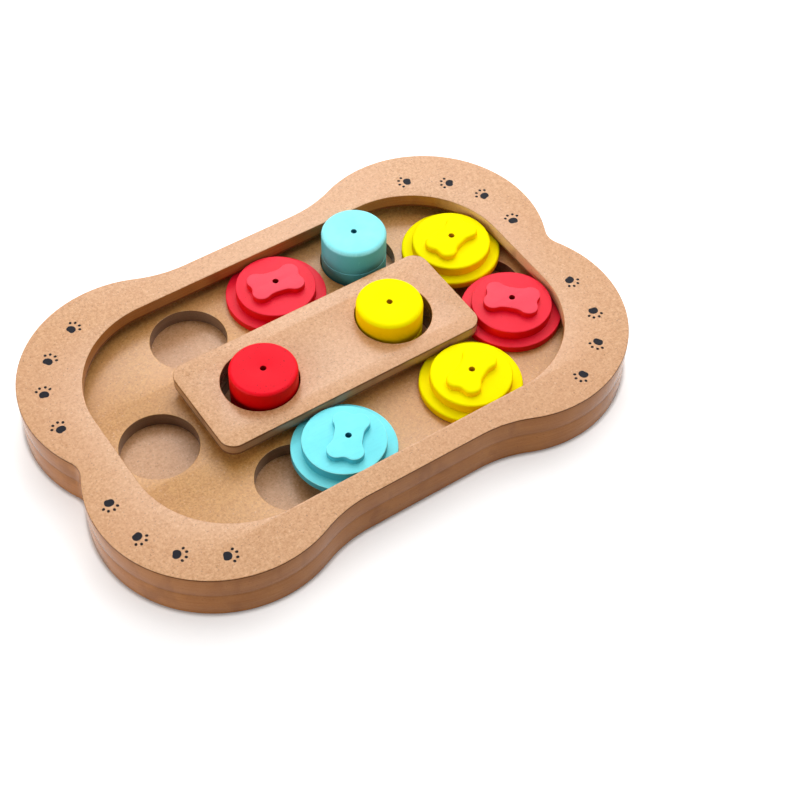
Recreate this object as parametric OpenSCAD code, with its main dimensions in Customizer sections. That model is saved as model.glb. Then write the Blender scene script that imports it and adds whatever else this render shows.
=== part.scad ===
// Bone-shaped treat puzzle board for dogs, made of fibreboard.
// A floor panel and a board with round treat pockets carry a frame and a centre bar. Their lips
// overhang a ring-shaped T-slot track, in which five lids slide on their flanges. Three hollow cups
// stand in pockets and lift out. Origin: middle of the footprint on the table, X along, Z up.

/* [Centre bar] */
// Length of the centre bar plate
bar_len = 152; // [140:1:164]
// Width of the centre bar plate
bar_w = 60; // [57:0.5:66]
// Thickness of the centre bar plate
bar_t = 6.8; // [5:0.2:7.8]
// Corner radius of the centre bar plate
bar_corner_r = 8; // [6:0.5:14]
// Distance of each bar hole from the nearer end of the bar
bar_hole_end = 36; // [30:0.5:44]

/* [Track] */
// Clear width of the track between the frame's lip and the bar
track_w = 44.7; // [42.5:0.1:48]
// Depth by which the lips of frame and bar overhang the slot
lip_over = 5; // [3.5:0.1:5.5]
// Side play between a lid's flange and the slot wall
flange_play = 0.8; // [0.4:0.05:1.2]
// Side play between a lid's upper disc and the lip
disc_play = 1.25; // [0.6:0.05:2.5]
// Height play between a lid's flange and the frame's lip
slot_play = 0.8; // [0.5:0.05:1.5]
// Gap under a lid or a cup that lies on its seat
rest_gap = 0.2; // [0.1:0.05:0.3]

/* [Board] */
// Thickness of the floor panel under the pockets
panel_t = 7.5; // [5:0.5:12]
// Thickness of the board with the treat pockets, which is their depth
pocket_t = 8; // [5:0.5:11]
// Thickness of the frame board
frame_t = 13; // [12.5:0.1:16]
// Width of the frame at the straight long sides
rim_side = 13.9; // [12:0.1:18]
// Width of the frame at the notch in each short end
rim_notch = 20.5; // [20:0.5:24.5]
// Width of the frame where a lobe reaches furthest past the short end
rim_lobe_end = 29; // [27.5:0.1:30]
// Width of the frame where a lobe reaches furthest past the long side
rim_lobe_side = 24.6; // [23.5:0.1:27]
// Radius of the four round lobes
lobe_r = 64.5; // [60:0.5:66]
// Length of the straight stretch in the middle of each long side
waist_flat = 66; // [50:1:84]

/* [Treat pockets] */
// Diameter of the treat pockets and of the holes in the bar
pocket_d = 40; // [37:0.25:41]
// Distance of the long-side pockets from where the bends of the track start
pocket_in = 15.8; // [8:0.1:19]

/* [Lids] */
// Thickness of a lid's flange
flange_t = 4; // [3:0.1:4.2]
// Thickness of a lid's upper disc
disc_t = 5.6; // [4:0.1:8]
// Thickness of a lid's bone-shaped grip
grip_t = 3.5; // [2.5:0.1:7]
// Overall length of the bone-shaped grip
grip_len = 28.6; // [26:0.2:33]
// Overall width of the bone-shaped grip
grip_w = 18.6; // [17.6:0.1:20.5]
// Radius of the grip's four lobes
grip_lobe_r = 5; // [4.7:0.05:5.4]
// Width of the grip at its waist
grip_waist = 14.4; // [13.4:0.1:15.4]
// Length of the straight stretch of the grip's waist
grip_flat = 4; // [1:0.5:6]
// Length of the grip between the notches in its ends
grip_notch_len = 26.6; // [26.2:0.1:27.2]
// Distance by which the blue front lid's grip and scent hole are off its middle
blue_grip_off = 2; // [0:0.1:3]
// Diameter of the scent holes in the lids and cups
scent_d = 3.2; // [2:0.1:5]
// Radius of the eased upper edges of the flanges and discs
ease_r = 0.7; // [0.3:0.1:1.2]

/* [Cups] */
// Side play between a cup and its pocket
cup_play = 2.6; // [1.5:0.1:4]
// Height of a cup's closed upper layer
cap_h = 15.5; // [12:0.1:20]
// Height of a cup's lower ring layer
ring_h = 14.8; // [10:0.1:20]
// Wall thickness of a cup
cup_wall = 4.6; // [3:0.1:7]
// Thickness of a cup's top above its hollow
cup_top_t = 5; // [3:0.1:8]
// Radius of a cup's rounded top edge
cup_round_r = 2.6; // [1:0.1:4]
// Chamfer of the edges that meet at a cup's glue line
seam_ease = 0.5; // [0.2:0.1:1]

/* [Where the lids and cups lie] */
// Place of the red lid along the back run of the track
red_back_x = 1; // [-60:1:2]
// Place of the blue lid along the front run of the track
blue_front_x = -23.8; // [-66:1:-24]
// Angle by which the red end lid has entered the front corner
red_end_deg = 4.35; // [3:0.05:6]
// Gap between the flanges of lids that lie side by side
lid_gap = 0.6; // [0.4:0.1:1.2]
// Turn of the grip of the red back lid
red_back_turn = -10; // [-90:1:90]
// Turn of the grip of the yellow corner lid
yellow_corner_turn = 18.6; // [-90:0.1:90]
// Turn of the grip of the red end lid
red_end_turn = -45; // [-90:1:90]
// Turn of the grip of the yellow front lid
yellow_front_turn = 29; // [-90:1:90]
// Turn of the grip of the blue front lid
blue_front_turn = 48; // [-90:1:90]
// Share of the side play by which each cup stands off the middle of its hole
cup_off = 0.78; // [0:0.01:0.85]

/* [Hidden] */
$fn = 96;

// heights
base_t = panel_t + pocket_t;
top_z = base_t + frame_t;
slot_h = flange_t + slot_play;
bar_z = top_z - bar_t;
flange_z = base_t + rest_gap;
disc_z = flange_z + flange_t;
grip_z = disc_z + disc_t;
ring_z = panel_t + rest_gap;
cap_z = ring_z + ring_h;

// track
open_len = bar_len + 2 * track_w;
open_w = bar_w + 2 * track_w;
open_corner_r = bar_corner_r + track_w;
corner_x = bar_len / 2 - bar_corner_r;
corner_y = bar_w / 2 - bar_corner_r;
bar_hole_x = bar_len / 2 - bar_hole_end;
pocket_x = corner_x - pocket_in;
path_r = bar_corner_r + track_w / 2;
run_x = bar_len / 2 + track_w / 2;
run_y = bar_w / 2 + track_w / 2;
flange_d = track_w + 2 * lip_over - 2 * flange_play;
disc_d = track_w - 2 * disc_play;

// outline of the board
half_len = open_len / 2 + rim_lobe_end;
half_w = open_w / 2 + rim_lobe_side;

// places of the lids: the three at the right lie side by side round the end of the track
next_to = flange_d + lid_gap;
red_end_x = corner_x + path_r * cos(red_end_deg);
red_end_y = -corner_y - path_r * sin(red_end_deg);
yellow_corner_deg = asin((red_end_y + next_to - corner_y) / path_r);
yellow_front_x = red_end_x - sqrt(next_to * next_to - pow(run_y + red_end_y, 2));
blue_off = [blue_grip_off * cos(-36), blue_grip_off * sin(-36)];
red_back = [red_back_x, run_y];
yellow_corner = [corner_x + path_r * cos(yellow_corner_deg), corner_y + path_r * sin(yellow_corner_deg)];
red_end = [red_end_x, red_end_y];
yellow_front = [yellow_front_x, -run_y];
blue_front = [blue_front_x, -run_y];

// places of the cups, each a little off the middle of its hole
cup_r = pocket_d / 2 - cup_play;
cup_shift = cup_off * cup_play;
red_cup = [-bar_hole_x + cup_shift * cos(-47), cup_shift * sin(-47)];
yellow_cup = [bar_hole_x + cup_shift * cos(147), cup_shift * sin(147)];
blue_cup = [pocket_x + cup_shift * cos(163), run_y + cup_shift * sin(163)];

red = [0.86, 0.07, 0.12];
yellow = [1, 0.92, 0.02];
blue = [0.36, 0.86, 0.92];
board = [0.82, 0.65, 0.47];
bar_tone = [0.84, 0.68, 0.5];
spacer_tone = [0.7, 0.52, 0.34];

// Rectangle with round corners, centred
module round_rect(len, w, r) {
  square([len - 2 * r, w], center = true);
  square([len, w - 2 * r], center = true);
  for (sx = [-1, 1], sy = [-1, 1])
    translate([sx * (len / 2 - r), sy * (w / 2 - r)]) circle(r = r);
}

// Bone outline: four lobes of radius r that reach to half_x and half_y, joined by smooth blends to
// the straight sides at waist_y and to the notches at notch_x. flat_x is half the straight stretch.
module bone_outline(half_x, half_y, r, waist_y, flat_x, notch_x) {
  lx = half_x - r;
  ly = half_y - r;
  side_rise = waist_y - ly;
  side_r = (pow(lx - flat_x, 2) + side_rise * side_rise - r * r) / (2 * (r - side_rise));
  end_run = notch_x - lx;
  notch_r = (end_run * end_run + ly * ly - r * r) / (2 * (r - end_run));
  difference() {
    union() {
      for (sx = [-1, 1], sy = [-1, 1]) translate([sx * lx, sy * ly]) circle(r = r);
      polygon([
        [notch_x + notch_r, 0], [lx, ly], [flat_x, waist_y + side_r],
        [-flat_x, waist_y + side_r], [-lx, ly], [-notch_x - notch_r, 0],
        [-lx, -ly], [-flat_x, -waist_y - side_r],
        [flat_x, -waist_y - side_r], [lx, -ly]
      ]);
    }
    for (sy = [-1, 1]) {
      for (sx = [-1, 1]) translate([sx * flat_x, sy * (waist_y + side_r)]) circle(r = side_r);
      translate([0, sy * (waist_y + side_r)]) square([2 * flat_x, 2 * side_r], center = true);
    }
    for (sx = [-1, 1]) translate([sx * (notch_x + notch_r), 0]) circle(r = notch_r);
  }
}

module board_outline() {
  bone_outline(half_len, half_w, lobe_r, open_w / 2 + rim_side, waist_flat / 2, open_len / 2 + rim_notch);
}

// Pockets: one at each end of the track, two on each long run, one under each bar hole
module pockets() {
  for (s = [-1, 1]) {
    translate([s * run_x, 0]) circle(d = pocket_d);
    translate([s * bar_hole_x, 0]) circle(d = pocket_d);
    for (t = [-1, 1]) translate([s * pocket_x, t * run_y]) circle(d = pocket_d);
  }
}

module bar_holes() {
  for (s = [-1, 1]) translate([s * bar_hole_x, 0]) circle(d = pocket_d);
}

// Disc with an eased upper edge and a scent hole, which off moves from its middle
module eased_disc(d, t, off) {
  difference() {
    rotate_extrude() {
      square([d / 2 - ease_r, t]);
      square([d / 2, t - ease_r]);
      translate([d / 2 - ease_r, t - ease_r]) circle(r = ease_r, $fn = 24);
    }
    translate(off) scent_hole(t);
  }
}

module scent_hole(h) {
  translate([0, 0, -1]) cylinder(d = scent_d, h = h + 2, $fn = 32);
}

// Bone-shaped grip, turned on its lid
module grip(turn) {
  difference() {
    rotate([0, 0, turn]) linear_extrude(height = grip_t)
      bone_outline(grip_len / 2, grip_w / 2, grip_lobe_r, grip_waist / 2, grip_flat / 2, grip_notch_len / 2);
    scent_hole(grip_t);
  }
}

module lid_flange(at, off = [0, 0]) {
  translate([at[0], at[1], flange_z]) eased_disc(flange_d, flange_t, off);
}

module lid_disc(at, off = [0, 0]) {
  translate([at[0], at[1], disc_z]) eased_disc(disc_d, disc_t, off);
}

module lid_grip(at, turn) { translate([at[0], at[1], grip_z]) grip(turn); }

// Upper layer of a cup: rounded top edge, chamfered lower edge, hollow from below, scent hole
module cup_cap(at) {
  translate([at[0], at[1], cap_z]) difference() {
    rotate_extrude() {
      polygon([[0, 0], [cup_r - seam_ease, 0], [cup_r, seam_ease], [cup_r, cap_h - cup_round_r], [0, cap_h - cup_round_r]]);
      square([cup_r - cup_round_r, cap_h]);
      translate([cup_r - cup_round_r, cap_h - cup_round_r]) circle(r = cup_round_r, $fn = 48);
    }
    translate([0, 0, -1]) cylinder(r = cup_r - cup_wall, h = cap_h - cup_top_t + 1);
    scent_hole(cap_h);
  }
}

// Lower layer of a cup: open ring with chamfered edges
module cup_ring(at) {
  translate([at[0], at[1], ring_z]) rotate_extrude()
    polygon([
      [cup_r - cup_wall, 0], [cup_r - seam_ease, 0], [cup_r, seam_ease],
      [cup_r, ring_h - seam_ease], [cup_r - seam_ease, ring_h], [cup_r - cup_wall, ring_h]
    ]);
}

module floor_panel() color(board) linear_extrude(height = panel_t) board_outline();

module pocket_board() color(board) translate([0, 0, panel_t]) linear_extrude(height = pocket_t)
  difference() {
    board_outline();
    pockets();
  }

module frame_board() color(board) translate([0, 0, base_t]) difference() {
  linear_extrude(height = frame_t) board_outline();
  translate([0, 0, -1]) linear_extrude(height = frame_t + 2) round_rect(open_len, open_w, open_corner_r);
  translate([0, 0, -1]) linear_extrude(height = slot_h + 1)
    round_rect(open_len + 2 * lip_over, open_w + 2 * lip_over, open_corner_r + lip_over);
}

module bar_spacer() color(spacer_tone) translate([0, 0, base_t]) linear_extrude(height = bar_z - base_t)
  difference() {
    round_rect(bar_len - 2 * lip_over, bar_w - 2 * lip_over, bar_corner_r - lip_over);
    bar_holes();
  }

module bar_plate() color(bar_tone) translate([0, 0, bar_z]) linear_extrude(height = bar_t)
  difference() {
    round_rect(bar_len, bar_w, bar_corner_r);
    bar_holes();
  }

module red_back_flange() color(red) lid_flange(red_back);
module red_back_disc() color(red) lid_disc(red_back);
module red_back_grip() color(red) lid_grip(red_back, red_back_turn);

module yellow_corner_flange() color(yellow) lid_flange(yellow_corner);
module yellow_corner_disc() color(yellow) lid_disc(yellow_corner);
module yellow_corner_grip() color(yellow) lid_grip(yellow_corner, yellow_corner_turn);

module red_end_flange() color(red) lid_flange(red_end);
module red_end_disc() color(red) lid_disc(red_end);
module red_end_grip() color(red) lid_grip(red_end, red_end_turn);

module yellow_front_flange() color(yellow) lid_flange(yellow_front);
module yellow_front_disc() color(yellow) lid_disc(yellow_front);
module yellow_front_grip() color(yellow) lid_grip(yellow_front, yellow_front_turn);

module blue_front_flange() color(blue) lid_flange(blue_front, blue_off);
module blue_front_disc() color(blue) lid_disc(blue_front, blue_off);
module blue_front_grip() color(blue) lid_grip(blue_front + blue_off, blue_front_turn);

module red_cup_ring() color(red) cup_ring(red_cup);
module red_cup_cap() color(red) cup_cap(red_cup);
module yellow_cup_ring() color(yellow) cup_ring(yellow_cup);
module yellow_cup_cap() color(yellow) cup_cap(yellow_cup);
module blue_cup_ring() color(blue) cup_ring(blue_cup);
module blue_cup_cap() color(blue) cup_cap(blue_cup);

floor_panel();
pocket_board();
frame_board();
bar_spacer();
bar_plate();
red_back_flange();
red_back_disc();
red_back_grip();
yellow_corner_flange();
yellow_corner_disc();
yellow_corner_grip();
red_end_flange();
red_end_disc();
red_end_grip();
yellow_front_flange();
yellow_front_disc();
yellow_front_grip();
blue_front_flange();
blue_front_disc();
blue_front_grip();
red_cup_ring();
red_cup_cap();
yellow_cup_ring();
yellow_cup_cap();
blue_cup_ring();
blue_cup_cap();
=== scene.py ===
import math
import random

import bmesh
import bpy
from mathutils import Matrix, Vector
from mathutils.geometry import tessellate_polygon


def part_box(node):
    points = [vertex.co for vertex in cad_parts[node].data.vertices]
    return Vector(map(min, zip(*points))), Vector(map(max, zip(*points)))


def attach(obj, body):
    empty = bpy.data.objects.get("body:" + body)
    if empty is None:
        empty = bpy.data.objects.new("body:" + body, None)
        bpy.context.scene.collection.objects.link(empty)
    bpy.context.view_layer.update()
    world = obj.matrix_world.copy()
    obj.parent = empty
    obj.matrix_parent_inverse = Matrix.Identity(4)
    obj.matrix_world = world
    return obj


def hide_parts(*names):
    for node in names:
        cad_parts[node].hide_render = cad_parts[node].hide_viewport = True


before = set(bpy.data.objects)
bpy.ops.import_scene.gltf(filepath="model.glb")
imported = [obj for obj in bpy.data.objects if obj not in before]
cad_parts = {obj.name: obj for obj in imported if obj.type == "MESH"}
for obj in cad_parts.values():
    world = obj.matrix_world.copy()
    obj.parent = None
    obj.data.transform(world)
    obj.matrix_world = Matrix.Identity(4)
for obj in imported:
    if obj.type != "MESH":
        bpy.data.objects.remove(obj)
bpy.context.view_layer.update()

# ---------------------------------------------------------------------------------------------
# Floor panel
# The lowest layer: a bone-shaped fibreboard panel that closes the treat pockets from below. It is
# glued under the pocket board, and the edges of the two are routed and sanded as one.
# ---------------------------------------------------------------------------------------------

mm = 0.001
PANEL_LOW, PANEL_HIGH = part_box("floor_panel")
POCKET_LOW, POCKET_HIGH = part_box("pocket_board")
BOARD_BONE = dict(
    half_x=PANEL_HIGH.x, half_y=PANEL_HIGH.y, r=64.5 * mm,
    waist_y=88.6 * mm, flat_x=33 * mm, notch_x=141.2 * mm)
FOOT_EASE = 0.4 * mm
FLUSH_SEAM = 0.04 * mm
SHARP_TURN = math.radians(34)


def arc(cx, cy, r, start, stop, steps, out=1):
    """Points of an arc, each with the direction that leads out of the wood."""
    points = []
    for i in range(steps + 1):
        t = start + (stop - start) * i / steps
        u, v = math.cos(t), math.sin(t)
        points.append((cx + r * u, cy + r * v, out * u, out * v))
    return points


def bone_outline(half_x, half_y, r, waist_y, flat_x, notch_x, steps=26):
    """Four lobes with hollow blends to the straight sides and to the notch in each end."""
    lobe_x, lobe_y = half_x - r, half_y - r
    rise, run = waist_y - lobe_y, notch_x - lobe_x
    side_r = ((lobe_x - flat_x) ** 2 + rise * rise - r * r) / (2 * (r - rise))
    notch_r = (run * run + lobe_y * lobe_y - r * r) / (2 * (r - run))
    side_y, end_x = waist_y + side_r, notch_x + notch_r
    notch_to_lobe = math.atan2(lobe_y, lobe_x - end_x)
    lobe_to_notch = math.atan2(-lobe_y, end_x - lobe_x)
    lobe_to_side = math.atan2(side_y - lobe_y, flat_x - lobe_x)
    side_to_lobe = math.atan2(lobe_y - side_y, lobe_x - flat_x)
    quarter = arc(end_x, 0, notch_r, math.pi, notch_to_lobe, steps // 3, -1)
    quarter += arc(lobe_x, lobe_y, r, lobe_to_notch, lobe_to_side, 2 * steps)[1:]
    quarter += arc(flat_x, side_y, side_r, side_to_lobe, -math.pi / 2, steps // 2, -1)[1:]

    def flip(points, a, b):
        return [(a * x, b * y, a * u, b * v) for x, y, u, v in points]

    back = quarter[::-1]
    return quarter + flip(back, -1, 1) + flip(quarter, -1, -1)[1:] + flip(back, 1, -1)[:-1]


def eased(z, r, up=1, steps=4):
    """Profile of a rounded arris, from the face out and over to the wall."""
    turns = [math.pi / 2 * i / steps for i in range(steps + 1)]
    return [(-r + r * math.sin(a), z - up * r * (1 - math.cos(a))) for a in turns]


def layer_edge(high, low, over, under, over_steps=4, under_steps=4):
    """Profile of a layer's wall from the top face to the underside, both arrises eased."""
    return eased(high, over, 1, over_steps) + eased(low, under, -1, under_steps)[::-1]


class Joinery:
    """Gathers the walls and flat faces of one piece and makes a mesh of them."""

    def __init__(self):
        self.mesh = bmesh.new()

    def row(self, outline, out, z):
        """Points round an outline, moved out of the wood by a step."""
        return [self.mesh.verts.new((x + u * out, y + v * out, z)) for x, y, u, v in outline]

    def strip(self, a, b, slot):
        """Smooth faces between two rows of points."""
        n = len(a)
        for i in range(n):
            face = self.mesh.faces.new((a[i], a[(i + 1) % n], b[(i + 1) % n], b[i]))
            face.material_index = slot
            face.smooth = True

    def wall(self, outline, profile, slot, shared=0):
        """Sweeps a profile of (step, height) round an outline; shared strips take the face's finish."""
        rows = [self.row(outline, out, z) for out, z in profile]
        for i, (a, b) in enumerate(zip(rows, rows[1:])):
            self.strip(a, b, slot if i >= shared else 0)
        return rows[0], rows[-1]

    def face(self, *loops):
        """Closes a flat face whose first loop is its outside and whose others are holes."""
        verts = [v for loop in loops for v in loop]
        for tri in tessellate_polygon([[v.co for v in loop] for loop in loops]):
            if len({verts[i] for i in tri}) == 3:
                self.mesh.faces.new([verts[i] for i in tri])

    def piece(self, name, body, nodes, materials):
        """Makes a piece of what was gathered, riding on a body in place of CAD nodes."""
        bmesh.ops.recalc_face_normals(self.mesh, faces=self.mesh.faces)
        data = bpy.data.meshes.new(name)
        self.mesh.to_mesh(data)
        self.mesh.free()
        data.set_sharp_from_angle(angle=SHARP_TURN)
        for material in materials:
            data.materials.append(material)
        thing = bpy.data.objects.new(name, data)
        bpy.context.scene.collection.objects.link(thing)
        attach(thing, body)
        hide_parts(*nodes)


class Wire:
    """A socket that takes part in sums, such as 1 - mask or a * b + c."""

    def __init__(self, finish, socket):
        self.finish, self.socket = finish, socket

    def sum(self, operation, a, b):
        return self.finish.node("Math", {"operation": operation}, {0: a, 1: b})

    def __add__(self, other):
        return self.sum("ADD", self, other)

    def __radd__(self, other):
        return self.sum("ADD", other, self)

    def __sub__(self, other):
        return self.sum("SUBTRACT", self, other)

    def __rsub__(self, other):
        return self.sum("SUBTRACT", other, self)

    def __mul__(self, other):
        return self.sum("MULTIPLY", self, other)

    def __rmul__(self, other):
        return self.sum("MULTIPLY", other, self)


class Finish:
    """A material under construction, or the air of the room where home is worlds."""

    def __init__(self, name, home="materials"):
        self.made = getattr(bpy.data, home).new(name)
        self.made.use_nodes = True
        self.tree = self.made.node_tree
        self.tree.nodes.clear()

    def node(self, kind, settings=None, inputs=None, out=0):
        """One node of a kind: its settings first, then the values or wires of its sockets."""
        node = self.tree.nodes.new("ShaderNode" + kind)
        for key, value in (settings or {}).items():
            if key == "stops":
                ramp = node.color_ramp
                while len(ramp.elements) < len(value):
                    ramp.elements.new(0.5)
                for stop, (place, shade) in zip(ramp.elements, value):
                    stop.position = place
                    stop.color = (shade, shade, shade, 1)
            else:
                setattr(node, key, value)
        for key, value in (inputs or {}).items():
            if isinstance(value, Wire):
                self.tree.links.new(value.socket, node.inputs[key])
            else:
                node.inputs[key].default_value = value
        return Wire(self, node.outputs[out]) if node.outputs else None

    def place(self):
        return self.node("TexCoord", out="Object")

    def along(self, axis, vector):
        return self.node("SeparateXYZ", {}, {0: vector}, out=axis)

    def stretched(self, scale, turn=(0, 0, 0)):
        inputs = {0: self.place(), "Rotation": turn, "Scale": scale}
        return self.node("Mapping", {"vector_type": "POINT"}, inputs)

    def noise(self, scale, detail, roughness, at=None):
        inputs = {"Vector": at or self.place(), "Scale": scale, "Detail": detail, "Roughness": roughness}
        return self.node("TexNoise", {}, inputs)

    def ramp(self, value, *stops):
        return self.node("ValToRGB", {"stops": stops}, {0: value})

    def between(self, value, low, high):
        """0 below low, 1 above high, even in between."""
        return self.node("MapRange", {"clamp": True}, {0: value, 1: low, 2: high})

    def mix(self, share, a, b):
        """From colour a to colour b, by the Mix node's colour sockets, 6 and 7."""
        return self.node("Mix", {"data_type": "RGBA"}, {0: share, 6: a, 7: b}, out=2)

    def coat(self, colour, roughness, gloss, height, relief, depth=0.15 * mm):
        """Closes the material: a glossy coat over a surface in slight relief."""
        bump = self.node("Bump", {}, {"Strength": relief, "Distance": depth, "Height": height})
        inputs = {"Base Color": colour, "Roughness": roughness, "Specular IOR Level": gloss, "Normal": bump}
        self.node("OutputMaterial", {}, {0: self.node("BsdfPrincipled", {}, inputs)})
        return self.made


def tone(r, g, b):
    """A colour as it looks on screen, 0 to 255, turned into light by the usual screen curve."""
    light = [c / 3294.6 if c <= 10 else ((c / 255 + 0.055) / 1.055) ** 2.4 for c in (r, g, b)]
    return (*light, 1)


def board_face(name, low, high, gloss):
    """Sanded, lacquered face of the fibreboard: tan, with pressed fibres and specks."""
    f = Finish(name)
    cloud = f.noise(14, 3, 0.55)
    mottle = f.noise(860, 2, 0.6)
    patch = f.noise(420, 2, 0.6)
    fibre = f.noise(1, 3, 0.65, f.stretched((420, 1700, 900), (0, 0, 0.5)))
    cross = f.noise(1, 3, 0.65, f.stretched((1500, 460, 900), (0, 0, 0.2)))
    speck = f.between(f.noise(1100, 1, 0.5), 0.67, 0.75)
    pore = f.between(f.noise(620, 3, 0.65), 0.66, 0.74)
    flake = f.between(f.noise(900, 1, 0.5, f.stretched((1, 1.2, 1), (0.6, 0.3, 0.8))), 0.66, 0.76)
    grain = 0.46 * mottle + 0.12 * patch + 0.21 * fibre + 0.21 * cross
    colour = f.mix(f.between(grain, 0.325, 0.675), low, high)
    colour = f.mix(f.between(cloud, 0.35, 0.7) * 0.35, colour, tone(208, 150, 108))
    colour = f.mix(speck * 0.52, colour, tone(106, 60, 24))
    colour = f.mix(pore * 0.3, colour, tone(128, 76, 34))
    colour = f.mix(flake * 0.32, colour, tone(244, 214, 182))
    return f.coat(colour, 0.26 + 0.14 * grain, gloss, height=grain, relief=0.14)


DARK_RIMS = ((0.0, 0.5), (0.05, 0.1), (0.5, 0.0), (0.92, 0.1), (0.955, 1.0), (1.0, 1.0))
PAINTED_LIGHT_FADE = 14 * mm


def board_edge(name, low, high, deep, pale, rim, gloss, dark_bands=DARK_RIMS, painted_light_from=None):
    """Routed edge of a board: browner than the face, in fine layers, lacquered.

    The dark bands say how dark the edge is from its foot, at 0, to its top, at 1, and rim how much
    of that shows; on the lip and the bar their lower bands are painted shadow. Past a given place along X,
    the edge turns paler: painted light on the right inner wall.
    """
    f = Finish(name)
    across = (f.along("Z", f.place()) - low) * (1 / (high - low))
    core = f.ramp(across, (0.0, 0.25), (0.12, 0.6), (0.5, 1.0), (0.88, 0.6), (1.0, 0.2))
    layers = f.noise(1, 3, 0.6, f.stretched((45, 45, 1500)))
    smear = f.noise(1, 2, 0.5, f.stretched((60, 60, 30)))
    fuzz = f.noise(1500, 2, 0.6)
    nick = f.between(f.noise(900, 2, 0.6), 0.64, 0.74)
    # Soft darker blotches here and there on the edge.
    blotch = f.between(f.noise(1, 2, 0.6, f.stretched((75, 75, 38))), 0.56, 0.68)
    body = 0.4 * layers + 0.35 * smear + 0.25 * fuzz
    colour = f.mix(f.between(body, 0.36, 0.64), deep, pale)
    colour = f.mix(core * 0.35, colour, pale)
    # Painted light: past the given place along X the edge turns paler, where the right inner wall faces the
    # light from the left.
    if painted_light_from is not None:
        painted_light_share = f.between(f.along("X", f.place()), painted_light_from, painted_light_from + PAINTED_LIGHT_FADE)
        colour = f.mix(painted_light_share, colour, f.mix(fuzz, tone(212, 172, 124), tone(238, 206, 160)))
    # The dark bands darken the edge by height; on the lip and the bar their lower bands are painted shadow.
    colour = f.mix(f.ramp(across, *dark_bands) * rim * (0.5 + fuzz), colour, tone(84, 44, 16))
    colour = f.mix(blotch * 0.3, colour, tone(112, 66, 36))
    colour = f.mix(nick * 0.4, colour, tone(84, 48, 26))
    height = 0.5 * layers + 0.3 * smear + 0.4 * fuzz
    return f.coat(colour, 0.09 + 0.1 * fuzz + 0.06 * smear, gloss, height, relief=0.1)


FACE = board_face("fibreboard_face", tone(175, 115, 50), tone(226, 178, 134), gloss=0.46)
BASE_EDGE = board_edge(
    "base_edge", PANEL_LOW.z, POCKET_HIGH.z, tone(146, 88, 41), tone(179, 119, 66), rim=0.12, gloss=0.12)

panel = Joinery()
profile = layer_edge(PANEL_HIGH.z, PANEL_LOW.z, FLUSH_SEAM, FOOT_EASE, over_steps=1)
top_rim, foot_rim = panel.wall(bone_outline(**BOARD_BONE), profile, 1)
panel.face(top_rim)
panel.face(foot_rim)
panel.piece("floor_panel_wood", "board", ["floor_panel"], [FACE, BASE_EDGE])

# ---------------------------------------------------------------------------------------------
# Pocket board
# The layer above the floor panel: the same outline, 8 mm thick, with eight round treat pockets cut
# through it. Its top face is the track that the lids slide on.
# ---------------------------------------------------------------------------------------------

BAR_LOW, BAR_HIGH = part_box("bar_plate")
TRACK = 44.7 * mm
RUN_X, RUN_Y = BAR_HIGH.x + TRACK / 2, BAR_HIGH.y + TRACK / 2
POCKET_RADIUS = 20 * mm
POCKET_X = 52.2 * mm
BAR_HOLE_X = 40 * mm
POCKETS = [(s * RUN_X, 0) for s in (-1, 1)]
POCKETS += [(s * POCKET_X, t * RUN_Y) for s in (-1, 1) for t in (-1, 1)]
BAR_HOLES = [(-BAR_HOLE_X, 0), (BAR_HOLE_X, 0)]
POCKET_EASE = 0.35 * mm
GLUE_SEAM = 0.05 * mm


def round_hole(cx, cy, r, steps=72):
    """The rim of a hole: out of the wood means towards the middle."""
    return arc(cx, cy, r, 2 * math.pi, 0, steps, -1)[:-1]


# The pocket walls are darker and greyer than the outer edges: partly the cut wood's own tone, partly painted
# shade inside the pockets.
POCKET_EDGE = board_edge(
    "pocket_wall", POCKET_LOW.z, POCKET_HIGH.z, tone(104, 78, 58), tone(138, 108, 84), rim=0.3, gloss=0.9)
# The track's face is the face finish made warmer and more saturated: painted shade and warm bounce light, as
# the track lies low between the walls.
SHADED_TRACK_FACE = board_face("fibreboard_track_shaded", tone(174, 107, 24), tone(227, 173, 99), gloss=0.47)

tray = Joinery()
tops, feet = [], []
for rim in [bone_outline(**BOARD_BONE)] + [round_hole(x, y, POCKET_RADIUS) for x, y in POCKETS + BAR_HOLES]:
    over = POCKET_EASE if tops else GLUE_SEAM
    profile = layer_edge(POCKET_HIGH.z, POCKET_LOW.z, over, FLUSH_SEAM, under_steps=1)
    top_rim, foot_rim = tray.wall(rim, profile, 2 if tops else 1, 2)
    tops.append(top_rim)
    feet.append(foot_rim)
tray.face(*tops)
tray.face(*feet)
tray.piece("pocket_board_wood", "board", ["pocket_board"], [SHADED_TRACK_FACE, BASE_EDGE, POCKET_EDGE])

# ---------------------------------------------------------------------------------------------
# Frame board
# The top layer, glued on the pocket board: the same outline, 13 mm thick, with a big round-cornered
# opening. Its lower inside edge is rebated, so that a lip stands out over the track.
# ---------------------------------------------------------------------------------------------

FRAME_LOW, FRAME_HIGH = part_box("frame_board")
SPACER_LOW, SPACER_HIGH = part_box("bar_spacer")
BAR_CORNER = 8 * mm
LIP_OVER = BAR_HIGH.x - SPACER_HIGH.x
LIP_UNDERSIDE = FRAME_LOW.z + 4.8 * mm
TOP_EASE = 0.5 * mm
LIP_EASE, LIP_UNDER_EASE = 0.45 * mm, 0.3 * mm
# Dark bands up the lip's wall: painted shadow in the slot under the lip and a painted shadow line along the
# lip's lower edge, with a faint dark line at the top arris.
LIP_SHADOW_BANDS = ((0.0, 0.2), (0.34, 0.3), (0.37, 1.0), (0.47, 0.9), (0.52, 0.0), (0.95, 0.0), (1.0, 0.3))


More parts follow.
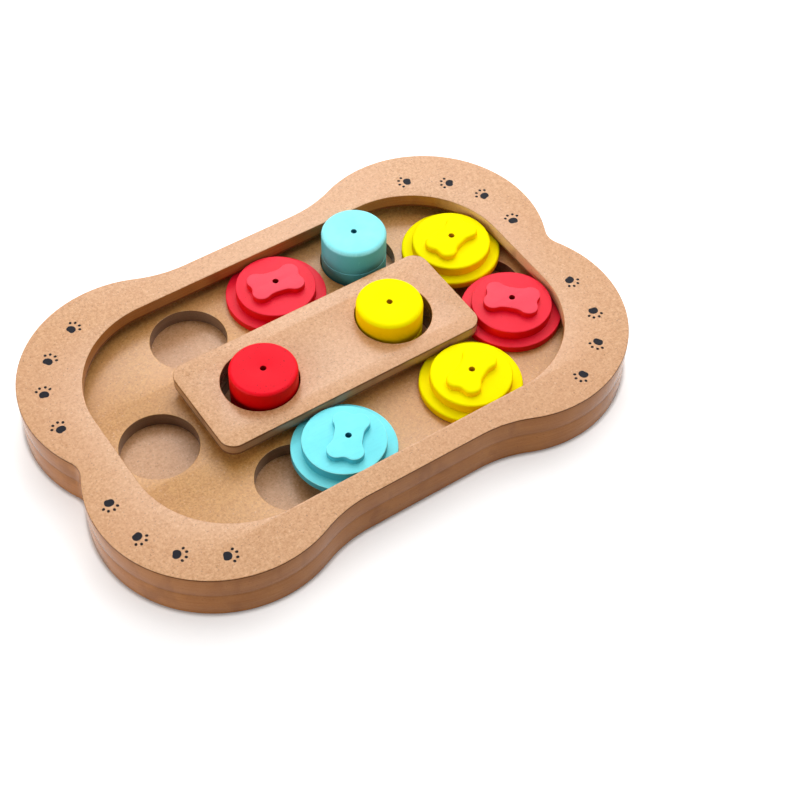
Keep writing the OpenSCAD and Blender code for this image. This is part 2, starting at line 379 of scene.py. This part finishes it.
def round_rect(half_x, half_y, r, steps=16, out=1):
    """Rectangle with round corners; out is -1 for the rim of an opening."""
    rim = []
    for sx, sy, quarter in ((1, 1, 0), (-1, 1, 1), (-1, -1, 2), (1, -1, 3)):
        start, stop = quarter * math.pi / 2, (quarter + 1) * math.pi / 2
        rim += arc(sx * (half_x - r), sy * (half_y - r), r, start, stop, steps, out)
    return rim if out > 0 else rim[::-1]


FRAME_EDGE = board_edge(
    "frame_edge", FRAME_LOW.z, FRAME_HIGH.z, tone(144, 87, 43), tone(176, 118, 68), rim=0.9, gloss=0.12)
# The opening's wall: painted shadow bands low down, and painted light towards its right end.
LIP_EDGE = board_edge(
    "lip_edge", FRAME_LOW.z, FRAME_HIGH.z, tone(146, 88, 37), tone(179, 120, 64), rim=0.8, gloss=0.3,
    dark_bands=LIP_SHADOW_BANDS, painted_light_from=106 * mm)

surround = Joinery()
profile = layer_edge(FRAME_HIGH.z, FRAME_LOW.z, TOP_EASE, GLUE_SEAM)
top_rim, foot_rim = surround.wall(bone_outline(**BOARD_BONE), profile, 1, 2)
opening = round_rect(BAR_HIGH.x + TRACK, BAR_HIGH.y + TRACK, BAR_CORNER + TRACK, 30, -1)
profile = layer_edge(FRAME_HIGH.z, LIP_UNDERSIDE, LIP_EASE, LIP_UNDER_EASE)
profile += [(-LIP_OVER, LIP_UNDERSIDE), (-LIP_OVER, FRAME_LOW.z)]
lip_rim, slot_rim = surround.wall(opening, profile, 2, 2)
surround.face(top_rim, lip_rim)
surround.face(foot_rim, slot_rim)
surround.piece("frame_board_wood", "board", ["frame_board"], [FACE, FRAME_EDGE, LIP_EDGE])

# ---------------------------------------------------------------------------------------------
# Paw prints
# Sixteen small paw marks stamped in dark ink, four on each lobe, walking from the notch in the
# short end towards the long side. The stamp sits a little off the middle of the board.
# ---------------------------------------------------------------------------------------------


def paw_ink(name, deep, thin):
    f = Finish(name)
    patch = f.noise(1800, 2, 0.6)
    colour = f.mix(f.between(patch, 0.35, 0.65), deep, thin)
    return f.coat(colour, 0.45 + 0.2 * patch, 0.15, height=patch, relief=0.1, depth=0.05 * mm)


PAD_INK = paw_ink("paw_pad_ink", tone(12, 11, 18), tone(26, 25, 36))
TOE_INK = paw_ink("paw_toe_ink", tone(14, 5, 3), tone(34, 14, 8))
STAMP_TURN = math.radians(-1.1)
STAMP_SHIFT = Vector((-2.9 * mm, -2.5 * mm))
# Each step of the walk on one lobe: place in mm, and heading. Each toe: turn, and reach in mm.
WALK = [(134.6, 25.7, 77.5), (132.2, 49.6, 105.5), (121.4, 67.9, 148), (102.1, 81.1, 160)]
TOES = [(-51, 4.35), (-18, 4.7), (18, 4.7), (51, 4.35)]
PAD_WIDE, PAD_LONG, PAD_DENT = 5.1 * mm, 4.3 * mm, 0.11
TOE_WIDE, TOE_LONG = 1.5 * mm, 1.7 * mm
DENT_SPREAD = 0.36
INK_FOOT, INK_TOP, INK_BEVEL = 0.005 * mm, 0.03 * mm, 0.95
marks = bmesh.new()
random.seed(7)


def ink_drop(cx, cy, wide, long, turn, dent=0.0, ink=0, steps=36):
    """A flat drop of ink with an uneven rim; dent hollows its back between two round corners."""
    z = FRAME_HIGH.z
    phase = random.random() * 6
    top, foot = [], []
    for i in range(steps):
        t = 2 * math.pi * i / steps
        r = 0.5 / math.hypot(math.cos(t) / long, math.sin(t) / wide)
        r *= 1 + 0.02 * math.sin(2 * t + phase) + 0.015 * math.sin(3 * t + 2 * phase)
        off_back = abs(t - math.pi) / DENT_SPREAD
        corners, hollow = 0.8 * math.exp(-(off_back - 2.4) ** 2), math.exp(-off_back * off_back)
        r *= 1 + dent * (corners - hollow)
        u, v = r * math.cos(t + turn), r * math.sin(t + turn)
        foot.append(marks.verts.new((cx + u, cy + v, z + INK_FOOT)))
        top.append(marks.verts.new((cx + u * INK_BEVEL, cy + v * INK_BEVEL, z + INK_TOP)))
    for i in range(steps):
        after = (i + 1) % steps
        marks.faces.new((foot[i], foot[after], top[after], top[i])).material_index = ink
    marks.faces.new(top).material_index = ink


c, s = math.cos(STAMP_TURN), math.sin(STAMP_TURN)
for sx, sy in ((-1, -1), (-1, 1), (1, -1), (1, 1)):
    for x, y, heading in WALK:
        x, y, way = sx * x * mm, sy * y * mm, math.radians(heading)
        way = math.atan2(sy * math.sin(way), sx * math.cos(way)) + STAMP_TURN
        x, y = x * c - y * s + STAMP_SHIFT.x, x * s + y * c + STAMP_SHIFT.y
        ink_drop(x, y, PAD_WIDE, PAD_LONG, way, PAD_DENT)
        for spread, reach in TOES:
            a = way + math.radians(spread)
            toe_x, toe_y = x + reach * mm * math.cos(a), y + reach * mm * math.sin(a)
            ink_drop(toe_x, toe_y, TOE_WIDE, TOE_LONG, a, ink=1, steps=14)
data = bpy.data.meshes.new("paw_prints")
marks.to_mesh(data)
marks.free()
data.materials.append(PAD_INK)
data.materials.append(TOE_INK)
paws = bpy.data.objects.new("paw_prints", data)
bpy.context.scene.collection.objects.link(paws)
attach(paws, "board")

# ---------------------------------------------------------------------------------------------
# Centre bar
# Two layers glued on the pocket board: a narrow spacer and a wider plate, whose edge overhangs the
# track all round like the frame's lip. Two round holes go through both.
# ---------------------------------------------------------------------------------------------

# Dark bands up the bar's edge: painted shadow along the plate's lower edge and on the spacer under it, and a
# dark line under the top arris.
BAR_DARK_BANDS = ((0.0, 1.0), (0.16, 0.9), (0.24, 0.1), (0.5, 0.0), (0.8, 0.1), (0.87, 0.9), (1.0, 0.9))
SPACER_EASE, BAR_UNDER_EASE = 0.15 * mm, 0.2 * mm
BAR_EDGE = board_edge(
    "bar_edge", BAR_LOW.z, BAR_HIGH.z, tone(132, 98, 68), tone(178, 136, 98), rim=0.8, gloss=0.5,
    dark_bands=BAR_DARK_BANDS)
# The bar's hole walls are darker still: partly the sawn wood's own grey tone, partly painted shade inside the
# holes.
HOLE_EDGE = board_edge(
    "bar_hole_wall", SPACER_LOW.z, BAR_HIGH.z, tone(92, 68, 50), tone(126, 96, 74), rim=0.2, gloss=0.8)


def bar_layer(name, corner, over):
    """A round-cornered layer of the bar with its two cup holes."""
    low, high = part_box(name)
    profile = layer_edge(high.z, low.z, over, BAR_UNDER_EASE)
    layer = Joinery()
    tops, feet = [], []
    for rim in [round_rect(high.x, high.y, corner)] + [round_hole(x, y, POCKET_RADIUS) for x, y in BAR_HOLES]:
        top_rim, foot_rim = layer.wall(rim, profile, 2 if tops else 1, 2)
        tops.append(top_rim)
        feet.append(foot_rim)
    layer.face(*tops)
    layer.face(*feet)
    layer.piece(name + "_wood", "board", [name], [FACE, BAR_EDGE, HOLE_EDGE])


bar_layer("bar_spacer", BAR_CORNER - LIP_OVER, SPACER_EASE)
bar_layer("bar_plate", BAR_CORNER, TOP_EASE)

# ---------------------------------------------------------------------------------------------
# Lids
# Five sliding lids, each of three painted fibreboard layers glued in a stack: a flange that runs
# under the lips, a smaller disc above it, and a bone-shaped grip. A scent hole goes through all.
# ---------------------------------------------------------------------------------------------

SCENT_RADIUS = 1.6 * mm
MOUTH_EASE = 0.15 * mm
CUP_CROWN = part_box("red_cup_cap")[1].z
GRIP_BONE = dict(
    half_x=14.3 * mm, half_y=9.3 * mm, r=5 * mm,
    waist_y=7.2 * mm, flat_x=2 * mm, notch_x=13.3 * mm, steps=15)
GRIP_TURNS = {"red_back": -10, "yellow_corner": 18.6, "red_end": -45, "yellow_front": 29, "blue_front": 48}
LID_EASE = {"red": 0.5 * mm, "yellow": 1.2 * mm, "blue": 0.5 * mm}
LID_UNDER_EASE = 0.25 * mm
GRIP_EASE = {"red": 0.5 * mm, "yellow": 1.4 * mm, "blue": 0.5 * mm}


def paint(name, colour, deep, bright, side_shade_and_brush, rim, gloss, pitted, brushed):
    """Brushed satin paint on fibreboard: orange peel, pits and scratches, and a painted highlight on the
    rounded rims.

    Upright sides take a deeper colour, which is painted shade; the brush streaks share it.
    """
    f = Finish(name)
    cloud = f.noise(90, 2, 0.5)
    peel = f.noise(650, 2, 0.55)
    pits = f.between(f.noise(820, 1, 0.5), 0.7, 0.76)
    brush = f.between(f.noise(1, 3, 0.6, f.stretched((60, 700, 200), (0, 0, 0.9))), 0.5, 0.75)
    scratch = f.between(f.noise(1, 2, 0.6, f.stretched((90, 1900, 300), (0, 0, 0.7))), 0.7, 0.74)
    flat = f.along("Z", f.node("TexCoord", out="Normal"))
    # Painted highlight: the rounded rims, between the upright sides and the flat tops, take the lighter rim
    # colour.
    rim_highlight = f.ramp(flat, (0.25, 0.0), (0.55, 1.0), (0.85, 1.0), (0.97, 0.0))
    shade = f.mix(f.between(cloud, 0.35, 0.65) * 0.5, colour, bright)
    shade = f.mix(brush * brushed, shade, side_shade_and_brush)
    # Painted shade: the upright sides take the deeper side colour.
    shade = f.mix(f.between(flat, 0.4, 0.9), side_shade_and_brush, shade)
    shade = f.mix(rim_highlight * (0.2 + 0.8 * peel), shade, rim)
    shade = f.mix(pits * pitted, shade, deep)
    shade = f.mix(scratch * 0.25, shade, bright)
    height = 0.8 * peel - pitted * pits - 0.2 * scratch - 0.6 * brushed * brush
    return f.coat(shade, 0.36 + 0.14 * peel + 0.1 * cloud, gloss, height, relief=0.12)


PAINTS = {
    "red": paint(
        "red_paint", tone(240, 3, 44), deep=tone(150, 2, 8), bright=tone(246, 22, 56),
        side_shade_and_brush=tone(222, 2, 6), rim=tone(250, 50, 70), gloss=0.22, pitted=0.3, brushed=0.15),
    "yellow": paint(
        "yellow_paint", tone(255, 241, 0), deep=tone(205, 150, 0), bright=tone(255, 246, 0),
        side_shade_and_brush=tone(255, 208, 0), rim=tone(255, 244, 0), gloss=0.01, pitted=0.1, brushed=0.03),
    "blue": paint(
        "blue_paint", tone(103, 232, 242), deep=tone(30, 150, 170), bright=tone(122, 240, 248),
        side_shade_and_brush=tone(62, 176, 192), rim=tone(170, 255, 255), gloss=0.45, pitted=0.12, brushed=0.1),
}
GRIP_PAINTS = {
    "red": paint(
        "red_grip_paint", tone(242, 34, 66), deep=tone(150, 2, 8), bright=tone(248, 52, 80),
        side_shade_and_brush=tone(222, 2, 6), rim=tone(252, 84, 104), gloss=0.35, pitted=0.3, brushed=0.1),
    "yellow": PAINTS["yellow"],
    "blue": PAINTS["blue"],
}
HOLE_PAINTS = {
    colour: board_edge(colour + "_hole_wall", BAR_LOW.z, CUP_CROWN, deep, pale, rim=0.2, gloss=0.2)
    for colour, deep, pale in (
        ("red", tone(140, 12, 12), tone(180, 22, 20)),
        ("yellow", tone(190, 140, 10), tone(228, 184, 20)),
        ("blue", tone(36, 124, 146), tone(62, 166, 186)))
}


def outer_rim(cx, cy, r, steps=112):
    """The rim of a round piece, all the way round."""
    return arc(cx, cy, r, 0, 2 * math.pi, steps)[:-1]


def lid_layer(name, lid, rim, edge, middle, finish):
    """A flat painted layer: its outside and its scent hole are swept, its faces closed."""
    low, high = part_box(name)
    colour = lid.split("_")[0]
    layer = Joinery()
    top_rim, foot_rim = layer.wall(rim, edge, 0)
    scent_wall = eased(high.z, MOUTH_EASE) + [(0, low.z)]
    scent_top, scent_foot = layer.wall(round_hole(middle.x, middle.y, SCENT_RADIUS, 40), scent_wall, 1, 2)
    layer.face(top_rim, scent_top)
    layer.face(foot_rim, scent_foot)
    layer.piece(name + "_painted", lid + "_lid", [name], [finish, HOLE_PAINTS[colour]])


for lid, turn in GRIP_TURNS.items():
    colour = lid.split("_")[0]
    grip_low, grip_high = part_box(lid + "_grip")
    middle = (grip_low + grip_high) / 2
    for part in ("_flange", "_disc"):
        low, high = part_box(lid + part)
        at = (low + high) / 2
        rim = outer_rim(at.x, at.y, (high.x - low.x) / 2)
        edge = layer_edge(high.z, low.z, LID_EASE[colour], LID_UNDER_EASE, over_steps=5)
        lid_layer(lid + part, lid, rim, edge, middle, PAINTS[colour])
    c, s = math.cos(math.radians(turn)), math.sin(math.radians(turn))
    bone = [
        (middle.x + x * c - y * s, middle.y + x * s + y * c, u * c - v * s, u * s + v * c)
        for x, y, u, v in bone_outline(**GRIP_BONE)]
    edge = eased(grip_high.z, GRIP_EASE[colour], 1, 6) + [(0, grip_low.z)]
    lid_layer(lid + "_grip", lid, bone, edge, middle, GRIP_PAINTS[colour])

# ---------------------------------------------------------------------------------------------
# Cups
# Three hollow cups, each a ring with a closed cap glued on it, painted all over. The glue line
# shows as a shallow groove. They stand loose in their holes and have a scent hole in the top.
# ---------------------------------------------------------------------------------------------

CUP_WALL = 4.6 * mm
CUP_TOP = 5 * mm
CROWN_EASE = {"red": 1.8 * mm, "yellow": 2.6 * mm, "blue": 2.6 * mm}
CAP_UNDER_EASE = 0.8 * mm
RING_EASE, RING_FOOT_EASE = 0.25 * mm, 0.5 * mm
CUP_PAINTS = {
    "red": paint(
        "red_cup_paint", tone(238, 3, 34), deep=tone(120, 0, 4), bright=tone(244, 12, 40),
        side_shade_and_brush=tone(202, 1, 2), rim=tone(248, 20, 32), gloss=0.1, pitted=0.5, brushed=0.1),
    "yellow": PAINTS["yellow"],
    "blue": paint(
        "blue_cup_paint", tone(126, 236, 243), deep=tone(30, 120, 140), bright=tone(146, 243, 247),
        side_shade_and_brush=tone(82, 179, 184), rim=tone(160, 246, 250), gloss=0.45, pitted=0.2, brushed=0.1),
}


def cup_layer(name, colour, at, outline):
    """Turns a closed profile of (radius, height); the scent hole's wall has its own finish."""
    layer = Joinery()
    rim = outer_rim(at.x, at.y, 0.0)
    rows = [layer.row(rim, r, z) for r, z in outline]
    for i, row in enumerate(rows):
        after = (i + 1) % len(rows)
        scent_wall = max(outline[i][0], outline[after][0]) <= SCENT_RADIUS
        layer.strip(row, rows[after], int(scent_wall))
    finishes = [CUP_PAINTS[colour], HOLE_PAINTS[colour]]
    layer.piece(name + "_painted", colour + "_cup", [name], finishes)


for colour in ("red", "yellow", "blue"):
    low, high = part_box(colour + "_cup_ring")
    at, r = (low + high) / 2, (high.x - low.x) / 2
    inside = r - CUP_WALL
    outline = [(r + out, z) for out, z in layer_edge(high.z, low.z, RING_EASE, RING_FOOT_EASE, 5, 5)]
    outline += [(inside, low.z), (inside, high.z)]
    cup_layer(colour + "_cup_ring", colour, at, outline)
    low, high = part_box(colour + "_cup_cap")
    ceiling = high.z - CUP_TOP
    outline = [(r + out, z) for out, z in layer_edge(high.z, low.z, CROWN_EASE[colour], CAP_UNDER_EASE, 9, 5)]
    outline += [(inside, low.z), (inside, ceiling), (SCENT_RADIUS, ceiling)]
    for a in (0, 0.6, 1.1, math.pi / 2):
        out, drop = MOUTH_EASE * (1 - math.cos(a)), MOUTH_EASE * (1 - math.sin(a))
        outline.append((SCENT_RADIUS + out, high.z - drop))
    cup_layer(colour + "_cup_cap", colour, at, outline)

# ---------------------------------------------------------------------------------------------
# Floor, lights and camera
# A plain white floor in a pale room. A wide window and a small soft lamp stand high behind the
# board, two weak soft lamps low at its sides.
# ---------------------------------------------------------------------------------------------

WHITE = (1, 1, 1, 1)
FLOOR_SIDE = 30
FLOOR_DROP = 0.2 * mm
NEAR_FLOOR, FAR_FLOOR = 0.8, 2.0
NEAR_GLOW, GLOSS_GLOW = 0.42, 0.5
SHADOW_REACH = 3.4 * mm
ROOM_LIGHT = 0.2

# The floor glows white to the eye and in gloss, but not close to the board, where it stays shaded.
ground = Finish("studio_floor")
distance = ground.node("VectorMath", {"operation": "LENGTH"}, {0: ground.place()}, out="Value")
far = ground.between(distance, NEAR_FLOOR, FAR_FLOOR)
open_air = ground.node("AmbientOcclusion", {"samples": 12}, {"Distance": SHADOW_REACH}, out="AO")
straight = ground.node("LightPath", out="Is Camera Ray")
mirrored = ground.node("LightPath", out="Is Glossy Ray")
glow = (NEAR_GLOW + (1 - NEAR_GLOW) * far) * straight + GLOSS_GLOW * mirrored
glow = glow * ground.between(open_air, 0.58, 0.85)
lit = ground.node("BsdfDiffuse", {}, {"Color": (0.86, 0.85, 0.845, 1)})
white = ground.node("Emission", {}, {"Color": WHITE, "Strength": 1.0})
glowing = ground.node("AddShader", {}, {0: lit, 1: white})
ground.node("OutputMaterial", {}, {0: ground.node("MixShader", {}, {0: glow, 1: lit, 2: glowing})})
bpy.ops.mesh.primitive_plane_add(size=FLOOR_SIDE, location=(0, 0, -FLOOR_DROP))
floor = bpy.context.object
floor.name = "studio_floor"
floor.data.materials.append(ground.made)

# The room is white to the eye and lights the pieces dimly.
room = Finish("pale_room", "worlds")
straight = room.node("LightPath", out="Is Camera Ray")
dim = room.node("Background", {}, {"Color": WHITE, "Strength": ROOM_LIGHT})
white = room.node("Background", {}, {"Color": WHITE, "Strength": 1.0})
room.node("OutputWorld", {}, {0: room.node("MixShader", {}, {0: straight, 1: dim, 2: white})})
bpy.context.scene.world = room.made

# Name, place and width in metres, and power of each lamp.
for name, place, size, power in (
    ("soft_window", (0.72, 0.75, 1.3), 2.4, 40),
    ("soft_lamp", (0.62, 1.1, 1.22), 0.5, 5),
    ("soft_left", (-1.6, 0.1, 0.32), 0.9, 16.5),
    ("soft_right", (0.9, -1.2, 0.5), 0.8, 5.5),
):
    lamp = bpy.data.lights.new(name, "AREA")
    lamp.size = size
    lamp.energy = power
    stand = bpy.data.objects.new(name, lamp)
    stand.location = place
    stand.rotation_euler = (-Vector(place)).to_track_quat("-Z", "Y").to_euler()
    bpy.context.scene.collection.objects.link(stand)

# The sensor in mm, and the view's width and focal length in pixels.
SENSOR = 36
VIEW_WIDTH = 800
FOCAL_LENGTH = 1677.6
CAMERA_PLACE = Vector((-0.28995, -0.46969, 0.67755))
azimuth, elevation, roll = math.radians(-35.59), math.radians(51.44), math.radians(1.96)
level = math.cos(elevation)
back = Vector((math.sin(azimuth) * level, -math.cos(azimuth) * level, math.sin(elevation)))
right = Vector((math.cos(azimuth), math.sin(azimuth), 0))
up = back.cross(right)
right, up = right * math.cos(roll) + up * math.sin(roll), up * math.cos(roll) - right * math.sin(roll)
camera = bpy.data.objects.new("camera", bpy.data.cameras.new("camera"))
camera.data.sensor_width = SENSOR
camera.data.lens = FOCAL_LENGTH / VIEW_WIDTH * SENSOR
camera.matrix_world = Matrix.Translation(CAMERA_PLACE) @ Matrix((right, up, back)).transposed().to_4x4()
bpy.context.scene.collection.objects.link(camera)
bpy.context.scene.camera = camera
bpy.context.scene.view_settings.view_transform = "Standard"
